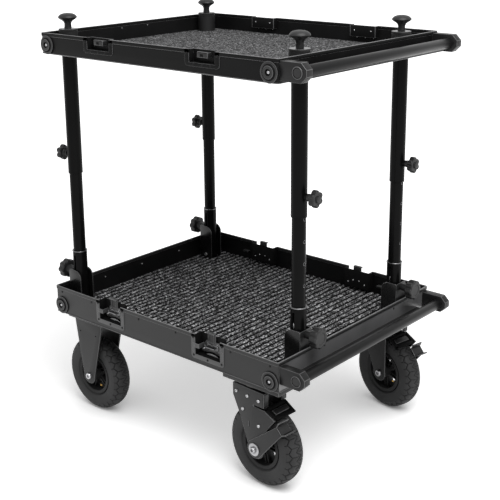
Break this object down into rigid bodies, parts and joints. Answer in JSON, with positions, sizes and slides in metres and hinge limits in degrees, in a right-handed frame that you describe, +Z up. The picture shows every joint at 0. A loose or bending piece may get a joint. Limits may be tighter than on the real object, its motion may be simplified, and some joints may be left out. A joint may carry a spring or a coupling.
{
  "type": "two-tier camera cart",
  "caption": "Rolling work cart with two carpeted trays on telescoping posts, fixed rear wheels, braked swivel front casters and a push bar on each tray.",
  "frame": {"origin": "on the ground under the middle of the cart's bounding box", "axes": "+Z up, +X along the cart towards the push bars and the swivel casters, +Y across from the side nearer the camera to the far side"},
  "size_m": [0.8748, 0.6446, 1.0723],
  "materials": {
    "tray_black": "satin black powder coat",
    "ribbed_carpet": "charcoal ribbed carpet with pale flecks",
    "pile_carpet": "charcoal speckled carpet",
    "frame_black": "satin black coat",
    "bar_black": "satin black with a soft highlight",
    "tube_black": "smooth semi-gloss black",
    "bright_steel": "bright zinc plate",
    "knob_black": "moulded matte black",
    "tyre_black": "matte rubber with a block tread",
    "rim_black": "matte black"
  },
  "bodies": {
    "base": {"lower_tray": "tray_black", "lower_mat": "ribbed_carpet", "lower_handle_arm_near": "frame_black", "lower_handle_arm_far": "frame_black", "lower_push_bar": "bar_black", "lower_bar_plate": "tray_black", "base_bracket_near_left": "frame_black", "base_bracket_far_left": "frame_black", "base_bracket_near_right": "frame_black", "base_bracket_far_right": "frame_black", "post_leg_near_left": "tube_black", "post_leg_far_left": "tube_black", "post_leg_near_right": "tube_black", "post_leg_far_right": "tube_black", "fixed_fork_near": "frame_black", "fixed_fork_far": "frame_black", "fixed_axle_near": "bright_steel", "fixed_axle_far": "bright_steel", "caster_mount_near": "frame_black", "caster_mount_far": "frame_black"},
    "upper_posts": {"post_outer_tube_near_left": "tube_black", "post_outer_tube_far_left": "tube_black", "post_outer_tube_near_right": "tube_black", "post_outer_tube_far_right": "tube_black"},
    "upper_deck": {"upper_tray": "tray_black", "upper_mat": "pile_carpet", "upper_handle_arm_near": "frame_black", "upper_handle_arm_far": "frame_black", "upper_push_bar": "bar_black", "upper_bar_plate": "tray_black"},
    "fixed_wheel_near": {"fixed_tyre_near": "tyre_black", "fixed_rim_near": "rim_black"},
    "fixed_wheel_far": {"fixed_tyre_far": "tyre_black", "fixed_rim_far": "rim_black"},
    "caster_near": {"caster_fork_near": "frame_black", "caster_axle_near": "bright_steel"},
    "caster_far": {"caster_fork_far": "frame_black", "caster_axle_far": "bright_steel"},
    "caster_wheel_near": {"caster_tyre_near": "tyre_black", "caster_rim_near": "rim_black"},
    "caster_wheel_far": {"caster_tyre_far": "tyre_black", "caster_rim_far": "rim_black"},
    "brake_near": {"brake_pedal_near": "frame_black"},
    "brake_far": {"brake_pedal_far": "frame_black"},
    "clamp_near_left": {"clamp_knob_near_left": "knob_black"},
    "clamp_far_left": {"clamp_knob_far_left": "knob_black"},
    "clamp_near_right": {"clamp_knob_near_right": "knob_black"},
    "clamp_far_right": {"clamp_knob_far_right": "knob_black"},
    "base_clamp_near_left": {"base_knob_near_left": "knob_black"},
    "base_clamp_far_left": {"base_knob_far_left": "knob_black"},
    "base_clamp_near_right": {"base_knob_near_right": "knob_black"},
    "base_clamp_far_right": {"base_knob_far_right": "knob_black"},
    "tray_clamp_near_left": {"tray_knob_near_left": "knob_black"},
    "tray_clamp_far_left": {"tray_knob_far_left": "knob_black"},
    "tray_clamp_near_right": {"tray_knob_near_right": "knob_black"},
    "tray_clamp_far_right": {"tray_knob_far_right": "knob_black"},
    "latch_near_left": {"latch_wing_near_left": "bright_steel"},
    "latch_near_right": {"latch_wing_near_right": "bright_steel"},
    "latch_far_left": {"latch_wing_far_left": "bright_steel"},
    "latch_far_right": {"latch_wing_far_right": "bright_steel"}
  },
  "joints": [
    {"name": "deck_height", "type": "slide", "parent": "base", "child": "upper_posts", "axis": [0, 0, 1], "range_m": [-0.212, 0.053]},
    {"name": "deck_lift_off", "type": "slide", "parent": "upper_posts", "child": "upper_deck", "axis": [0, 0, 1], "range_m": [0, 0.15]},
    {"name": "fixed_wheel_spin_near", "type": "hinge", "parent": "base", "child": "fixed_wheel_near", "pos_m": [-0.31085, -0.2575, 0.10111], "axis": [0, 1, 0], "continuous": true},
    {"name": "fixed_wheel_spin_far", "type": "hinge", "parent": "base", "child": "fixed_wheel_far", "pos_m": [-0.31085, 0.2575, 0.10111], "axis": [0, 1, 0], "continuous": true},
    {"name": "caster_swivel_near", "type": "hinge", "parent": "base", "child": "caster_near", "pos_m": [0.26765, -0.2635, 0.2463], "axis": [0, 0, 1], "continuous": true},
    {"name": "caster_swivel_far", "type": "hinge", "parent": "base", "child": "caster_far", "pos_m": [0.26765, 0.2635, 0.2463], "axis": [0, 0, 1], "continuous": true},
    {"name": "caster_wheel_spin_near", "type": "hinge", "parent": "caster_near", "child": "caster_wheel_near", "pos_m": [0.29061, -0.26482, 0.10111], "axis": [0.0576, 0.9983, 0], "continuous": true},
    {"name": "caster_wheel_spin_far", "type": "hinge", "parent": "caster_far", "child": "caster_wheel_far", "pos_m": [0.29023, 0.25911, 0.10111], "axis": [0.1908, 0.9816, 0], "continuous": true},
    {"name": "brake_near", "type": "hinge", "parent": "caster_near", "child": "brake_near", "pos_m": [0.29061, -0.26482, 0.10111], "axis": [0.0576, 0.9983, 0], "range_deg": [0, 25]},
    {"name": "brake_far", "type": "hinge", "parent": "caster_far", "child": "brake_far", "pos_m": [0.29023, 0.25911, 0.10111], "axis": [0.1908, 0.9816, 0], "range_deg": [0, 25]},
    {"name": "clamp_turn_near_left", "type": "hinge", "parent": "upper_posts", "child": "clamp_near_left", "pos_m": [-0.4, -0.258, 0.70351], "axis": [-1, 0, 0], "range_deg": [-720, 0]},
    {"name": "clamp_turn_far_left", "type": "hinge", "parent": "upper_posts", "child": "clamp_far_left", "pos_m": [-0.4, 0.258, 0.70351], "axis": [-1, 0, 0], "range_deg": [-720, 0]},
    {"name": "clamp_turn_near_right", "type": "hinge", "parent": "upper_posts", "child": "clamp_near_right", "pos_m": [0.363, -0.2011, 0.70351], "axis": [1, 0, 0], "range_deg": [-720, 0]},
    {"name": "clamp_turn_far_right", "type": "hinge", "parent": "upper_posts", "child": "clamp_far_right", "pos_m": [0.363, 0.2011, 0.70351], "axis": [1, 0, 0], "range_deg": [-720, 0]},
    {"name": "base_clamp_turn_near_left", "type": "hinge", "parent": "base", "child": "base_clamp_near_left", "pos_m": [-0.41, -0.258, 0.37501], "axis": [-1, 0, 0], "range_deg": [-720, 0]},
    {"name": "base_clamp_turn_far_left", "type": "hinge", "parent": "base", "child": "base_clamp_far_left", "pos_m": [-0.41, 0.258, 0.37501], "axis": [-1, 0, 0], "range_deg": [-720, 0]},
    {"name": "base_clamp_turn_near_right", "type": "hinge", "parent": "base", "child": "base_clamp_near_right", "pos_m": [0.373, -0.2011, 0.37501], "axis": [1, 0, 0], "range_deg": [-720, 0]},
    {"name": "base_clamp_turn_far_right", "type": "hinge", "parent": "base", "child": "base_clamp_far_right", "pos_m": [0.373, 0.2011, 0.37501], "axis": [1, 0, 0], "range_deg": [-720, 0]},
    {"name": "tray_clamp_turn_near_left", "type": "hinge", "parent": "upper_deck", "child": "tray_clamp_near_left", "pos_m": [-0.37035, -0.258, 1.05], "axis": [0, 0, 1], "range_deg": [0, 720]},
    {"name": "tray_clamp_turn_far_left", "type": "hinge", "parent": "upper_deck", "child": "tray_clamp_far_left", "pos_m": [-0.37035, 0.258, 1.05], "axis": [0, 0, 1], "range_deg": [0, 720]},
    {"name": "tray_clamp_turn_near_right", "type": "hinge", "parent": "upper_deck", "child": "tray_clamp_near_right", "pos_m": [0.33365, -0.2011, 1.05], "axis": [0, 0, 1], "range_deg": [0, 720]},
    {"name": "tray_clamp_turn_far_right", "type": "hinge", "parent": "upper_deck", "child": "tray_clamp_far_right", "pos_m": [0.33365, 0.2011, 1.05], "axis": [0, 0, 1], "range_deg": [0, 720]},
    {"name": "latch_turn_near_left", "type": "hinge", "parent": "base", "child": "latch_near_left", "pos_m": [-0.19185, -0.3, 0.31801], "axis": [0, 1, 0], "range_deg": [0, 180]},
    {"name": "latch_turn_near_right", "type": "hinge", "parent": "base", "child": "latch_near_right", "pos_m": [0.15115, -0.3, 0.31801], "axis": [0, 1, 0], "range_deg": [0, 180]},
    {"name": "latch_turn_far_left", "type": "hinge", "parent": "base", "child": "latch_far_left", "pos_m": [-0.19185, 0.3, 0.31801], "axis": [0, 1, 0], "range_deg": [0, 180]},
    {"name": "latch_turn_far_right", "type": "hinge", "parent": "base", "child": "latch_far_right", "pos_m": [0.15115, 0.3, 0.31801], "axis": [0, 1, 0], "range_deg": [0, 180]}
  ]
}
